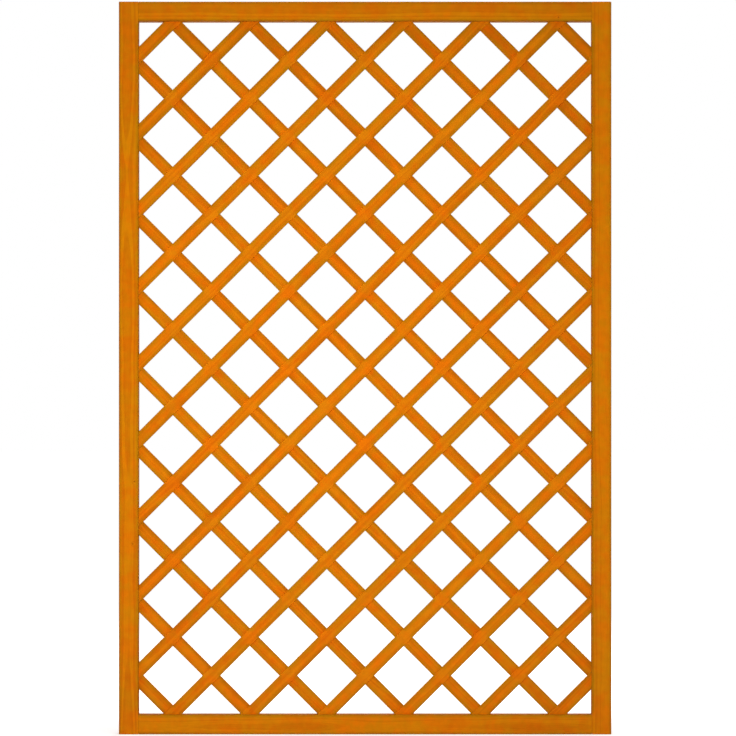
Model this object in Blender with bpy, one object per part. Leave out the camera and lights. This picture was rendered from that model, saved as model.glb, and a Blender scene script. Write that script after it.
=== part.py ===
"""A framed diagonal lattice fence panel, modelled piece by piece in metres with +Z up.

The panel stands upright on z = 0, centred on x = 0 and y = 0, and its front faces -Y. Two stiles run
its full height, and two rails sit between them. All four have a groove along their inner edge. Each
rail ends in a stub tongue that seats in the stiles' groove, and two countersunk screws hold each
corner. The lattice is two layers of slats, crossing each other, whose ends are sawn to seat in the
groove all round.
"""

import math

import bmesh
import bpy
from mathutils import Matrix, Vector

# Panel
PANEL_WIDTH = 1.210
PANEL_HEIGHT = 1.800

# Frame timber
FRAME_FACE = 0.048
FRAME_THICKNESS = 0.045
FRAME_ARRIS = 0.003
STILE_END_EASE = 0.001

# Groove and the rails' tongues
GROOVE_DEPTH = 0.012
JOINT_GAP = 0.0003

# Lattice slats
SLAT_WIDTH = 0.031
SLAT_THICKNESS = 0.008
SLAT_ARRIS = 0.0015
SLAT_LEAN = math.radians(45)
DIAMONDS_UP = 9
LAYER_GAP = 0.0003
SLAT_SIDE_PLAY = 0.0003
SLAT_END_PLAY = 0.001

# Corner screws
SCREW_LENGTH = 0.080
SCREW_SHANK = 0.005
SCREW_HEAD = 0.010
SCREW_HEAD_RIM = 0.0006
SCREW_TIP = 0.006
SCREW_SINK = 0.0005
SCREW_SPACING = 0.016
SCREW_GAP = 0.0003
SCREW_TIP_GAP = 0.001
RECESS_ACROSS = 0.0045
RECESS_WAIST = 0.0033
RECESS_DEPTH = 0.0024
RECESS_POINTS = 6

# Facets and cutting
FRAME_ARRIS_STEPS = 5
SLAT_ARRIS_STEPS = 3
SCREW_SIDES = 16
CUT_PAST = 0.010
MERGE = 1e-6
SHARP_ANGLE = math.radians(30)
ROUND = 0.5

# Sizes that follow from the ones above
GROOVE_WIDTH = 2 * SLAT_THICKNESS + LAYER_GAP + 2 * SLAT_SIDE_PLAY
OPENING_WIDTH = PANEL_WIDTH - 2 * FRAME_FACE
OPENING_HEIGHT = PANEL_HEIGHT - 2 * FRAME_FACE
SLAT_SPACING = OPENING_HEIGHT / DIAMONDS_UP * math.cos(SLAT_LEAN)
TONGUE_THICKNESS = GROOVE_WIDTH - 2 * JOINT_GAP
SHOULDER_LENGTH = OPENING_WIDTH - 2 * JOINT_GAP
RAIL_LENGTH = OPENING_WIDTH + 2 * (GROOVE_DEPTH - JOINT_GAP)
SOLID_DEPTH = FRAME_FACE - GROOVE_DEPTH
LAYER_OFFSET = (SLAT_THICKNESS + LAYER_GAP) / 2


def stain_from_screen(red, green, blue):
    """A colour read from a screen, 0 to 255, as the linear colour that a material takes."""
    channels = []
    for value in (red, green, blue):
        share = value / 255
        channels.append(share / 12.92 if share <= 0.04045 else ((share + 0.055) / 1.055) ** 2.4)
    return (*channels, 1.0)


def make_material(name, colour, roughness, metallic=0.0):
    material = bpy.data.materials.new(name)
    material.use_nodes = True
    shader = material.node_tree.nodes["Principled BSDF"]
    shader.inputs["Base Color"].default_value = colour
    shader.inputs["Roughness"].default_value = roughness
    shader.inputs["Metallic"].default_value = metallic
    return material


def mesh_from(bm, name):
    """The finished mesh of a piece, with soft arrises and crisp corners."""
    bmesh.ops.recalc_face_normals(bm, faces=bm.faces)
    mesh = bpy.data.meshes.new(name)
    bm.to_mesh(mesh)
    bm.free()
    mesh.shade_smooth()
    mesh.set_sharp_from_angle(angle=SHARP_ANGLE)
    return mesh


def place(name, mesh, parent, material=None, location=(0, 0, 0), rotation=(0, 0, 0)):
    """Puts a mesh in the scene as an object with a place and a turn under its parent."""
    placed = bpy.data.objects.new(name, mesh)
    bpy.context.scene.collection.objects.link(placed)
    placed.parent = parent
    placed.location = location
    placed.rotation_euler = rotation
    if material is not None and not mesh.materials:
        mesh.materials.append(material)
    return placed


def place_cutter(name, mesh, parent, location=(0, 0, 0), rotation=(0, 0, 0)):
    """A helper that other pieces are cut with, and that isn't part of the panel."""
    cutter = place(name, mesh, parent, location=location, rotation=rotation)
    cutter.hide_render = True
    cutter.display_type = "WIRE"
    return cutter


def cut(target, cutter):
    saw = target.modifiers.new(cutter.name, "BOOLEAN")
    saw.operation = "DIFFERENCE"
    saw.solver = "EXACT"
    saw.object = cutter


def add_block(bm, low, high):
    """A box between two opposite corners."""
    size = Vector(high) - Vector(low)
    middle = (Vector(high) + Vector(low)) / 2
    placing = Matrix.Translation(middle) @ Matrix.Diagonal((*size, 1.0))
    return bmesh.ops.create_cube(bm, size=1.0, matrix=placing)["verts"]


def planed_bar(width, thickness, length, arris, arris_steps, end_ease=0.0):
    """A timber bar along Z, its width along X and its thickness along Y, with rounded long edges.

    Where the ends are eased, each end face is drawn in and out by the same amount, as a chamfer.
    """
    bm = bmesh.new()
    half_length = length / 2 - end_ease
    add_block(bm, (-width / 2, -thickness / 2, -half_length), (width / 2, thickness / 2, half_length))
    long_edges = [edge for edge in bm.edges if abs(edge.verts[0].co.z - edge.verts[1].co.z) > MERGE]
    bmesh.ops.bevel(
        bm,
        geom=long_edges,
        offset=arris,
        segments=arris_steps,
        profile=ROUND,
        affect="EDGES",
    )
    if end_ease > 0:
        ends = [face for face in bm.faces if abs(face.calc_center_median().z) > half_length - MERGE]
        for face in ends:
            bmesh.ops.inset_region(bm, faces=[face], thickness=end_ease, depth=end_ease, use_even_offset=True)
    return bm


def make_stiles(material, parent):
    """The two upright members: one mesh, turned half round for the right side."""
    bm = planed_bar(
        FRAME_FACE,
        FRAME_THICKNESS,
        PANEL_HEIGHT,
        FRAME_ARRIS,
        FRAME_ARRIS_STEPS,
        STILE_END_EASE,
    )
    mesh = mesh_from(bm, "stile")
    reach = (PANEL_WIDTH - FRAME_FACE) / 2
    left = place("left_stile", mesh, parent, material, (-reach, 0, 0))
    right = place("right_stile", mesh, parent, material, (reach, 0, 0), (0, 0, math.pi))
    return [left, right]


def make_rails(material, parent):
    """The two level members: one mesh, laid down with its grooved edge towards the lattice."""
    bm = planed_bar(FRAME_FACE, FRAME_THICKNESS, RAIL_LENGTH, FRAME_ARRIS, FRAME_ARRIS_STEPS)
    mesh = mesh_from(bm, "rail")
    reach = (PANEL_HEIGHT - FRAME_FACE) / 2
    quarter = math.pi / 2
    bottom = place("bottom_rail", mesh, parent, material, (0, 0, -reach), (0, -quarter, 0))
    top = place("top_rail", mesh, parent, material, (0, 0, reach), (0, quarter, 0))
    return [bottom, top]


def groove_mesh(length):
    """What a groove takes out of a bar's inner edge, run past both ends."""
    bm = bmesh.new()
    add_block(
        bm,
        (FRAME_FACE / 2 - GROOVE_DEPTH, -GROOVE_WIDTH / 2, -length / 2 - CUT_PAST),
        (FRAME_FACE / 2 + CUT_PAST, GROOVE_WIDTH / 2, length / 2 + CUT_PAST),
    )
    return mesh_from(bm, "groove")


def cheek_mesh():
    """What is sawn off the front and back of a rail's two ends to leave its tongues."""
    bm = bmesh.new()
    for end in (-1, 1):
        for side in (-1, 1):
            near = (FRAME_FACE / 2 + CUT_PAST, side * TONGUE_THICKNESS / 2, end * SHOULDER_LENGTH / 2)
            far = (
                -FRAME_FACE / 2 - CUT_PAST,
                side * (FRAME_THICKNESS / 2 + CUT_PAST),
                end * (RAIL_LENGTH / 2 + CUT_PAST),
            )
            low = [min(pair) for pair in zip(near, far)]
            high = [max(pair) for pair in zip(near, far)]
            add_block(bm, low, high)
    return mesh_from(bm, "cheeks")


def cut_grooves(members, length, parent):
    """Runs the groove along each member's inner edge."""
    mesh = groove_mesh(length)
    for member in members:
        cutter = place_cutter(f"{member.name}_groove", mesh, parent, member.location, member.rotation_euler)
        cut(member, cutter)


def cut_tongues(rails, parent):
    """Saws the cheeks off both ends of each rail."""
    mesh = cheek_mesh()
    for rail in rails:
        cutter = place_cutter(f"{rail.name}_cheeks", mesh, parent, rail.location, rail.rotation_euler)
        cut(rail, cutter)


def slat_middle(step, half_width, half_height):
    """Half way along the slat that lies this many steps above the middle one, and its length.

    The middle line of the slat is followed both ways until it leaves the rectangle between the
    groove bottoms.
    """
    along = Vector((math.cos(SLAT_LEAN), 0, math.sin(SLAT_LEAN)))
    across = Vector((-math.sin(SLAT_LEAN), 0, math.cos(SLAT_LEAN)))
    foot = across * (step * SLAT_SPACING)
    start = max((-half_width - foot.x) / along.x, (-half_height - foot.z) / along.z)
    end = min((half_width - foot.x) / along.x, (half_height - foot.z) / along.z)
    return foot + along * ((start + end) / 2), end - start


def slat_mesh(step):
    """A slat of the front layer, as (mesh, place): a planed bar sawn where it meets the groove bottoms."""
    half_width = OPENING_WIDTH / 2 + GROOVE_DEPTH - SLAT_END_PLAY
    half_height = OPENING_HEIGHT / 2 + GROOVE_DEPTH - SLAT_END_PLAY
    middle, length = slat_middle(step, half_width, half_height)
    uncut = length + 2 * SLAT_WIDTH / math.sin(2 * SLAT_LEAN) + 2 * CUT_PAST
    bm = planed_bar(SLAT_WIDTH, SLAT_THICKNESS, uncut, SLAT_ARRIS, SLAT_ARRIS_STEPS)
    turn = Matrix.Rotation(math.pi / 2 - SLAT_LEAN, 4, "Y")
    placing = Matrix.Translation(middle) @ turn
    back = placing.inverted()
    stops = (
        (Vector((half_width, 0, 0)), Vector((1, 0, 0))),
        (Vector((-half_width, 0, 0)), Vector((-1, 0, 0))),
        (Vector((0, 0, half_height)), Vector((0, 0, 1))),
        (Vector((0, 0, -half_height)), Vector((0, 0, -1))),
    )
    for point, outward in stops:
        saw_off(bm, back @ point, back.to_3x3() @ outward)
    return mesh_from(bm, f"slat_step_{step}"), middle


def saw_off(bm, point, outward):
    """Cuts a solid off square to a direction and closes the sawn end."""
    everything = [*bm.verts, *bm.edges, *bm.faces]
    sawn = bmesh.ops.bisect_plane(
        bm,
        geom=everything,
        dist=MERGE,
        plane_co=point,
        plane_no=outward,
        clear_outer=True,
    )
    rim = [item for item in sawn["geom_cut"] if isinstance(item, bmesh.types.BMEdge)]
    if rim:
        bmesh.ops.edgeloop_fill(bm, edges=rim)


def make_lattice(material, parent):
    """Both layers of slats.

    The slats rising to the right are the front layer. A half turn about Y gives a slat's twin on the
    other side of the middle, and a half turn about Z lays the same slat in the back layer, falling to
    the right. Each is named by how many slats it lies above or below the middle one of its layer.
    """
    reach = OPENING_WIDTH / 2 * math.sin(SLAT_LEAN) + OPENING_HEIGHT / 2 * math.cos(SLAT_LEAN)
    most = int((reach - SLAT_WIDTH) / SLAT_SPACING)
    tilt = math.pi / 2 - SLAT_LEAN
    for step in range(most + 1):
        mesh, middle = slat_mesh(step)
        twins = ((f"upper_{step}", 1), (f"lower_{step}", -1)) if step else (("middle", 1),)
        for word, way in twins:
            turn = tilt if way > 0 else tilt + math.pi
            front_spot = (way * middle.x, -LAYER_OFFSET, way * middle.z)
            back_spot = (-way * middle.x, LAYER_OFFSET, way * middle.z)
            place(f"front_slat_{word}", mesh, parent, material, front_spot, (0, turn, 0))
            place(f"back_slat_{word}", mesh, parent, material, back_spot, (0, turn, math.pi))


def turned(outline):
    """A solid turned about X from (distance along, radius) points that start and end on the axis."""
    bm = bmesh.new()
    points = [bm.verts.new((along, radius, 0)) for along, radius in outline]
    edges = [bm.edges.new(pair) for pair in zip(points, points[1:])]
    bmesh.ops.spin(
        bm,
        geom=[*points, *edges],
        cent=(0, 0, 0),
        axis=(1, 0, 0),
        angle=2 * math.pi,
        steps=SCREW_SIDES,
        use_merge=True,
    )
    bmesh.ops.remove_doubles(bm, verts=bm.verts, dist=MERGE)
    return bm


def screw_outline(gap=0.0, above=0.0, beyond=0.0):
    """Half the screw's section from its head at 0, or of the hole for it, which is wider by the gap."""
    head = SCREW_HEAD / 2 + gap
    shank = SCREW_SHANK / 2 + gap
    cone_end = SCREW_HEAD_RIM + (SCREW_HEAD - SCREW_SHANK) / 2
    return [
        (-above, 0),
        (-above, head),
        (SCREW_HEAD_RIM, head),
        (cone_end, shank),
        (SCREW_LENGTH - SCREW_TIP, shank),
        (SCREW_LENGTH + beyond, 0),
    ]


def screw_mesh():
    """A countersunk wood screw with a six-pointed recess sunk into its head."""
    bm = turned(screw_outline())
    middle = min(bm.verts, key=lambda vert: vert.co.x + vert.co.yz.length)
    top_faces = list(middle.link_faces)
    rim = [edge for face in top_faces for edge in face.edges if middle not in edge.verts]
    bmesh.ops.delete(bm, geom=[middle], context="VERTS")
    star = []
    for index in range(2 * RECESS_POINTS):
        angle = math.pi * index / RECESS_POINTS
        radius = (RECESS_WAIST if index % 2 else RECESS_ACROSS) / 2
        star.append(bm.verts.new((0, radius * math.cos(angle), radius * math.sin(angle))))
    mouth = [bm.edges.new(pair) for pair in zip(star, star[1:] + star[:1])]
    bmesh.ops.triangle_fill(bm, edges=rim + mouth, use_beauty=True, normal=(-1, 0, 0))
    walls = bmesh.ops.extrude_edge_only(bm, edges=mouth)["geom"]
    floor_points = [item for item in walls if isinstance(item, bmesh.types.BMVert)]
    floor_edges = [item for item in walls if isinstance(item, bmesh.types.BMEdge)]
    bmesh.ops.translate(bm, verts=floor_points, vec=(RECESS_DEPTH, 0, 0))
    floor_edges = [edge for edge in floor_edges if all(vert in floor_points for vert in edge.verts)]
    bmesh.ops.edgeloop_fill(bm, edges=floor_edges)
    return mesh_from(bm, "corner_screw")


def make_screws(stiles, rails, material, parent):
    """Two screws at each corner, driven through the stile's outer edge into the rail's end."""
    screw = screw_mesh()
    hole = mesh_from(turned(screw_outline(SCREW_GAP, SCREW_SINK + CUT_PAST, SCREW_TIP_GAP)), "screw_hole")
    reach = PANEL_WIDTH / 2 - SCREW_SINK
    sides = (("left", -1, stiles[0], 0.0), ("right", 1, stiles[1], math.pi))
    levels = (("bottom", -1, rails[0]), ("top", 1, rails[1]))
    for side_name, side, stile, turn in sides:
        for level_name, level, rail in levels:
            for number, shift in ((1, 0.5), (2, -0.5)):
                depth = SOLID_DEPTH / 2 - shift * SCREW_SPACING
                spot = (side * reach, 0, level * (PANEL_HEIGHT / 2 - depth))
                name = f"{level_name}_{side_name}_screw_{number}"
                place(name, screw, parent, material, spot, (0, 0, turn))
                cutter = place_cutter(f"{name}_hole", hole, parent, spot, (0, 0, turn))
                cut(stile, cutter)
                cut(rail, cutter)


def build():
    for existing in list(bpy.data.objects):
        bpy.data.objects.remove(existing)
    frame_stain = make_material("frame_wood", stain_from_screen(200, 113, 5), 0.55)
    lattice_stain = make_material("lattice_wood", stain_from_screen(212, 116, 8), 0.55)
    zinc = make_material("screw_steel", stain_from_screen(190, 192, 196), 0.35, 1.0)
    centre = bpy.data.objects.new("panel_centre", None)
    bpy.context.scene.collection.objects.link(centre)
    centre.location = (0, 0, PANEL_HEIGHT / 2)
    stiles = make_stiles(frame_stain, centre)
    rails = make_rails(frame_stain, centre)
    cut_grooves(stiles, PANEL_HEIGHT, centre)
    cut_grooves(rails, RAIL_LENGTH, centre)
    cut_tongues(rails, centre)
    make_lattice(lattice_stain, centre)
    make_screws(stiles, rails, zinc, centre)


build()
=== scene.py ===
# %% [markdown]
# # A lattice fence panel, dressed for its photograph
#
# The panel is a softwood frame round an open diagonal lattice, all soaked in one orange wood stain. The
# packed model already holds every piece at its real size. This lesson gives each of them the surface of the
# real thing. It could paint the packed solids as they are, but their edges are coarse and they know nothing
# of grain. So each timber is drawn again as a fine surface on the sizes measured from the frame, and it
# carries its grain with it. Lengths are in metres throughout.

# %% Load the packed panel
import math

import bpy
import numpy as np
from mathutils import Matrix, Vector


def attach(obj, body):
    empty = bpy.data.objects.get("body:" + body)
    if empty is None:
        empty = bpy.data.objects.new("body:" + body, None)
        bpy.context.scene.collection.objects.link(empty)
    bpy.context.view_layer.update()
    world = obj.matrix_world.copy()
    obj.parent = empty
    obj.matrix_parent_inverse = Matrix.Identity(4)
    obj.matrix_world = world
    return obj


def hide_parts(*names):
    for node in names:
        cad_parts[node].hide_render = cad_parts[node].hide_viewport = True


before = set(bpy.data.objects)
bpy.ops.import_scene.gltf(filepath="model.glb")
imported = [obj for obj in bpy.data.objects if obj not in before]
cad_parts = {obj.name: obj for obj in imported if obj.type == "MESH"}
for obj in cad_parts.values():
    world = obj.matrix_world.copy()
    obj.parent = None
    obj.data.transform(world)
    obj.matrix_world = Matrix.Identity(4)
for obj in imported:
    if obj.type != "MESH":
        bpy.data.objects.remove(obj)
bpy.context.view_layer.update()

print("packed nodes:", len(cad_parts))


# %% [markdown]
# ## Reading sizes off the frame
#
# A joiner who copies a panel measures the old one first. The sizes could be typed in again, but two lists of
# numbers drift apart. Here every size comes from the packed points. A frame member's face and thickness are
# its box. The tongue is what lies past the rail's shoulders, and the groove is what opens above the tongue.
# Points further from the middle than a share NEAR_FACE of the thickness belong to a rail's outer faces.

# %% Measure the frame members
NEAR_FACE = 0.4


def packed_points(node):
    """The points of a packed node, one row each, in metres."""
    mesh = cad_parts[node].data
    points = np.empty(3 * len(mesh.vertices), np.float32)
    mesh.vertices.foreach_get("co", points)
    return points.reshape(-1, 3).astype(float)


stile = packed_points("left_stile")
FACE, THICKNESS, HEIGHT = np.ptp(stile, axis=0)
HALF_WIDTH = np.abs(stile[:, 0]).max()

rail = packed_points("bottom_rail")
near_face = np.abs(rail[:, 1]) > NEAR_FACE * THICKNESS
TONGUE_END = np.abs(rail[:, 0]).max()
SHOULDER = np.abs(rail[near_face, 0]).max()
tongue = rail[np.abs(rail[:, 0]) > (SHOULDER + TONGUE_END) / 2]
TONGUE_HALF = np.abs(tongue[:, 1]).max()
GROOVE_FLOOR = tongue[:, 2].max()
lips = rail[~near_face & (rail[:, 2] > (GROOVE_FLOOR + FACE) / 2)]
GROOVE_HALF = np.abs(lips[:, 1]).min()
print(f"frame section {FACE * 1000:.1f} x {THICKNESS * 1000:.1f} mm, panel {HEIGHT * 1000:.0f} mm high")
print(f"groove {GROOVE_HALF * 2000:.1f} mm wide and {(FACE - GROOVE_FLOOR) * 1000:.1f} mm deep")


# %% [markdown]
# The slats lie in two layers that lean opposite ways. Their directions could be fitted to their points, but a
# lattice is set out at 45 degrees, so only a slat's place across that direction and its layer are measured.
# The furthest points of all the slats show where the groove's floor stops them.

# %% Measure the slats
LEAN = math.radians(45)
MIDDLE = np.array([0, 0, HEIGHT / 2])
slat_points = {name: packed_points(name) - MIDDLE for name in sorted(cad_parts) if "_slat_" in name}
SLAT_STOPS = np.abs(np.vstack(list(slat_points.values()))).max(axis=0)[[0, 2]]


def middle_and_span(values):
    """The middle of a row of numbers, and how far they span."""
    return (values.min() + values.max()) / 2, np.ptp(values)


def slat_across(name):
    """The unit direction across a slat. The front layer rises to the right, and the back one falls."""
    rise = 1 if name.startswith("front") else -1
    return np.array([-rise * math.sin(LEAN), 0, math.cos(LEAN)])


def slat_place(name):
    """How far a slat's middle line lies from the panel's middle, its width, its middle's y, its thickness."""
    points = slat_points[name]
    return *middle_and_span(points @ slat_across(name)), *middle_and_span(points[:, 1])


_, SLAT_WIDTH, LAYER_DEPTH, SLAT_THICKNESS = slat_place("back_slat_middle")
LATTICE_BACK = LAYER_DEPTH + SLAT_THICKNESS / 2
slat_offsets = sorted(slat_place(name)[0] for name in slat_points if name.startswith("front"))
SLAT_SPACING = np.diff(slat_offsets).mean()
CROSSING_PITCH = SLAT_SPACING / math.sin(LEAN)
print(f"{len(slat_points)} slats of {SLAT_WIDTH * 1000:.1f} x {SLAT_THICKNESS * 1000:.1f} mm,",
      f"{SLAT_SPACING * 1000:.1f} mm apart")


# %% [markdown]
# ## A section and its rounded corners
#
# Planed timber has no knife edges: its long edges, the arrises, are eased with a few strokes of the plane. A
# Bevel modifier could round them all alike. Here the section itself is a formula, so the easing varies along
# the length as it does under a hand, and the same formula draws the frame's grooved section and the slat's
# plain one.

# %% Draw a rounded section at every station
def unit(rows):
    """Each row of numbers divided by its length."""
    return rows / np.linalg.norm(rows, axis=-1, keepdims=True)


def rounded_section(corners, radii, steps, marks):
    """Outline points of a section, for all stations along a timber at once, as (stations, points, 2).

    corners is (stations, corners, 2) and runs anticlockwise. With the side's direction into a corner called
    "in" and the one out of it "out", the arc's centre is corner - r * in + r * out, and its points are
    centre + r * (in * sin t - out * cos t) while t goes from 0 to 90 degrees. A corner of 0 steps stays
    sharp. Each side then carries points at its marks, which are distances from the side's middle.
    """
    columns = []
    before = np.roll(corners, 1, axis=1)
    after = np.roll(corners, -1, axis=1)
    for index, count in enumerate(steps):
        corner = corners[:, index]
        way_in = unit(corner - before[:, index])
        way_out = unit(after[:, index] - corner)
        if count:
            turn = np.linspace(0, math.pi / 2, count + 1)[None, :, None]
            radius = radii[:, index, None]
            centre = corner - radius * way_in + radius * way_out
            swing = way_in[:, None] * np.sin(turn) - way_out[:, None] * np.cos(turn)
            columns.append(centre[:, None] + radius[:, None] * swing)
        else:
            columns.append(corner[:, None])
        middle = (corner + after[:, index]) / 2
        columns.append(middle[:, None] + way_out[:, None] * np.asarray(marks[index])[None, :, None])
    return np.concatenate(columns, axis=1)


def wander(positions, waves, draw):
    """A smooth random line between -1 and 1: the mean of sine waves of these lengths, with drawn phases."""
    waves = np.asarray(waves)[:, None]
    phases = draw.uniform(0, 2 * math.pi, waves.shape)
    return np.sin(2 * math.pi * positions[None, :] / waves + phases).mean(axis=0)


square = np.array([[[0, 0], [1, 0], [1, 1], [0, 1.0]]])
rounded = rounded_section(square, np.full((1, 4), 0.1), (4,) * 4, ((0,),) * 4)
print("a square with four eased corners and a mark on each side has", rounded.shape[1], "points")


# %% [markdown]
# A frame member's section is a rectangle with a groove in its inner edge. It could be drawn by eye in the
# editor, but then no size would follow the frame. Eight corners give it, and marks just inside the arrises
# hold the flats flat beside the rounding.

# %% Draw the frame's grooved section
ARRIS = 0.003
ARRIS_PLAY = 0.0005
ARRIS_STEPS = 6
LIP_EASE = 0.0004
LIP_STEPS = 2
HOLD = 0.0008
FACE_MARKS = np.array([-1, -0.75, -0.4, 0, 0.4, 0.75, 1]) * (FACE / 2 - ARRIS - ARRIS_PLAY - HOLD)
EDGE_HOLD = THICKNESS / 2 - ARRIS - ARRIS_PLAY - HOLD


def frame_section(outer_arris, inner_arris, inset, edge_marks):
    """The frame's section and its corners, in (distance in from the outer edge, distance towards the back).

    The two easing radii are given at each station, and inset draws the outer faces in, for the chamfered
    ends. The eight corners run round the outside and down into the groove, which keeps its size.
    """
    outer, inner = inset, FACE - inset
    front, back = inset - THICKNESS / 2, THICKNESS / 2 - inset
    floor = np.full_like(inset, GROOVE_FLOOR)
    wall = np.full_like(inset, GROOVE_HALF)
    corners = np.array([
        [outer, front], [inner, front], [inner, -wall], [floor, -wall],
        [floor, wall], [inner, wall], [inner, back], [outer, back],
    ]).transpose(2, 0, 1)
    lip = np.full_like(inset, LIP_EASE)
    radii = np.stack([outer_arris, inner_arris, lip, lip, lip, lip, inner_arris, outer_arris], axis=1)
    steps = (ARRIS_STEPS, ARRIS_STEPS, LIP_STEPS, 0, 0, LIP_STEPS, ARRIS_STEPS, ARRIS_STEPS)
    floor_marks = (-TONGUE_HALF, 0, TONGUE_HALF)
    marks = (FACE_MARKS, (0,), (0,), floor_marks, (0,), (0,), FACE_MARKS, edge_marks)
    return rounded_section(corners, radii, steps, marks), corners


print(f"arrises of {ARRIS * 1000:.1f} mm, give or take {ARRIS_PLAY * 1000:.1f} mm")


# %% [markdown]
# ## From sections to a closed skin
#
# A timber's skin is a tube: the section at each station, joined to the next by four-cornered faces. bmesh
# could bridge the loops one by one. A grid of numbers does it in one step, because point j of ring i always
# joins point j + 1 of ring i and the same two points of ring i + 1.
#
# The skin also carries what its finish will need. "wood" is where the point lay in the tree, so the grain
# runs through from face to end as in solid timber. "arris" is how far the nearest long edge is, "end" marks
# sawn end grain, and "board" is one number for each timber, because no two take a stain alike.

# %% Join rings and store what the finish needs
SOFT_ANGLE = math.radians(32)


def tube_grid(length, section):
    """A tube's spots as rows of (length, inward, back), and their numbers as (rings, around)."""
    length = np.broadcast_to(length, section.shape[:2])
    spots = np.concatenate([length[..., None], section], axis=2)
    return spots.reshape(-1, 3), np.arange(length.size).reshape(length.shape)


def tube_faces(number):
    """Quads (i, j), (i, j + 1), (i + 1, j + 1), (i + 1, j) of a tube, from its numbers as (rings, around)."""
    onward = np.roll(number, -1, axis=1)
    return np.stack([number[:-1], onward[:-1], onward[1:], number[1:]], axis=-1)


def end_faces(number):
    """The two flat faces that close a tube, on its first ring and on its last."""
    return np.stack([number[0, ::-1], number[-1]])


def listed(*blocks):
    """The faces of some arrays, whose last axis runs round a face, as one list."""
    return [face for block in blocks for face in block.reshape(-1, block.shape[-1]).tolist()]


def edge_distance(section, corners):
    """How far each outline point lies from the nearest long edge, as (stations, points)."""
    return np.linalg.norm(section[:, :, None] - corners[:, None], axis=-1).min(axis=2)


def show(name, data):
    """A new object in the scene that holds this data."""
    thing = bpy.data.objects.new(name, data)
    bpy.context.scene.collection.objects.link(thing)
    return thing


def new_piece(name, points, faces, layers, node=None):
    """A mesh object at the origin, with its place in its points and its layers stored for the finish."""
    mesh = bpy.data.meshes.new(name)
    mesh.from_pydata(points.tolist(), [], faces)
    for layer, values in layers.items():
        kind, field = ("FLOAT_VECTOR", "vector") if values.ndim == 2 else ("FLOAT", "value")
        stored = mesh.attributes.new(layer, kind, "POINT").data
        stored.foreach_set(field, values.astype(np.float32).ravel())
    mesh.update()
    mesh.shade_smooth()
    mesh.set_sharp_from_angle(angle=SOFT_ANGLE)
    piece = show(name, mesh)
    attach(piece, "root")
    if node:
        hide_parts(node)
    return piece


print(f"edges that turn by more than {math.degrees(SOFT_ANGLE):.0f} degrees stay crisp")


# %% [markdown]
# Boards are sawn from a log side by side, and each shows the rings from its own place in it. A texture could
# be shifted a little for each timber. Here every timber gets a place in the tree instead, and its grain is
# whatever the rings do there.

# %% Place a timber in the panel and in its tree
SEED = 45
TREE_LENGTH = 12.0
SAWN_LEAN = 0.25
FRAME_PITH = (0.036, 0.075)
draw = np.random.default_rng(SEED)


class Timber:
    """Where a timber lies in the panel, and where it lay in the tree.

    origin is the section's zero at length 0. inward and back are the section's two axes, and the length runs
    along inward x back. The timber is flat sawn: its pith lies a drawn distance before or behind the
    section's middle, give or take a small lean.
    """

    def __init__(self, origin, inward, back, middle, pith_range):
        self.origin = np.array(origin, float)
        self.axes = np.array([np.cross(inward, back), inward, back], float)
        angle = math.pi * (draw.integers(2) + 0.5) + draw.uniform(-SAWN_LEAN, SAWN_LEAN)
        self.bark_side = np.array([[math.cos(angle), -math.sin(angle)], [math.sin(angle), math.cos(angle)]])
        self.pith = np.array(middle) - draw.uniform(*pith_range) * self.bark_side[:, 0]
        self.start = draw.uniform(0, TREE_LENGTH)
        self.board = draw.uniform(0, 1)

    def in_panel(self, spots):
        """World points from (length, inward, back) spots: the origin plus each number along its direction."""
        return self.origin + spots @ self.axes

    def piece(self, node, spots, faces, arris, end, slot):
        """The timber in place of its packed node, with what its finish needs in its layers.

        The place in the tree is the length from a drawn start, and the offset from the pith, turned so that
        the timber's middle lies straight out towards the bark.
        """
        wood = np.column_stack([spots[:, 0] + self.start, (spots[:, 1:] - self.pith) @ self.bark_side])
        layers = {"wood": wood, "arris": arris, "end": end, "board": np.full(len(spots), self.board)}
        return new_piece(f"{node}_timber", self.in_panel(spots), faces, layers, node)


half_face = (FACE / 2, 0)
members = {
    "left_stile": Timber((-HALF_WIDTH, 0, 0), (1, 0, 0), (0, 1, 0), half_face, FRAME_PITH),
    "right_stile": Timber((HALF_WIDTH, 0, 0), (-1, 0, 0), (0, -1, 0), half_face, FRAME_PITH),
    "bottom_rail": Timber((0, 0, 0), (0, 0, 1), (0, 1, 0), half_face, FRAME_PITH),
    "top_rail": Timber((0, 0, HEIGHT), (0, 0, -1), (0, 1, 0), half_face, FRAME_PITH),
}
print("frame members placed:", ", ".join(members))


# %% [markdown]
# ## The stiles and their countersunk holes
#
# Each stile runs the full height, with a light chamfer at both ends and two screws near each end, driven in
# through the outer edge. A Boolean could bore the holes, but it leaves long thin faces that shade badly. Here
# the grid makes room instead: a square of it is left out, and rings lead from that square to the round mouth,
# down the wall and along the cone. The skin stays whole, and below the cone the wood closes round the screw.

# %% Lead the grid from a square to a countersunk hole
SCREW_HEAD = 0.0050
SCREW_RIM = 0.0006
SCREW_NECK = 0.0018
HOLE_PLAY = 0.0003
HOLE_CLOSES = 0.9
MOUTH_WEAR = 0.0004
PATCH_HALF = 0.008
PATCH_STEP = 0.002
PATCH_MARKS = np.linspace(-PATCH_HALF, PATCH_HALF, round(2 * PATCH_HALF / PATCH_STEP) + 1)
screw_points = {name: packed_points(name) for name in sorted(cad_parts) if "_screw_" in name}
screw_levels = np.unique([middle_and_span(points[:, 2])[0].round(5) for points in screw_points.values()])
SCREW_SINK = HALF_WIDTH - max(np.abs(points[:, 0]).max() for points in screw_points.values())
CONE_DEPTH = SCREW_SINK + SCREW_RIM + SCREW_HEAD - SCREW_NECK


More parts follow.
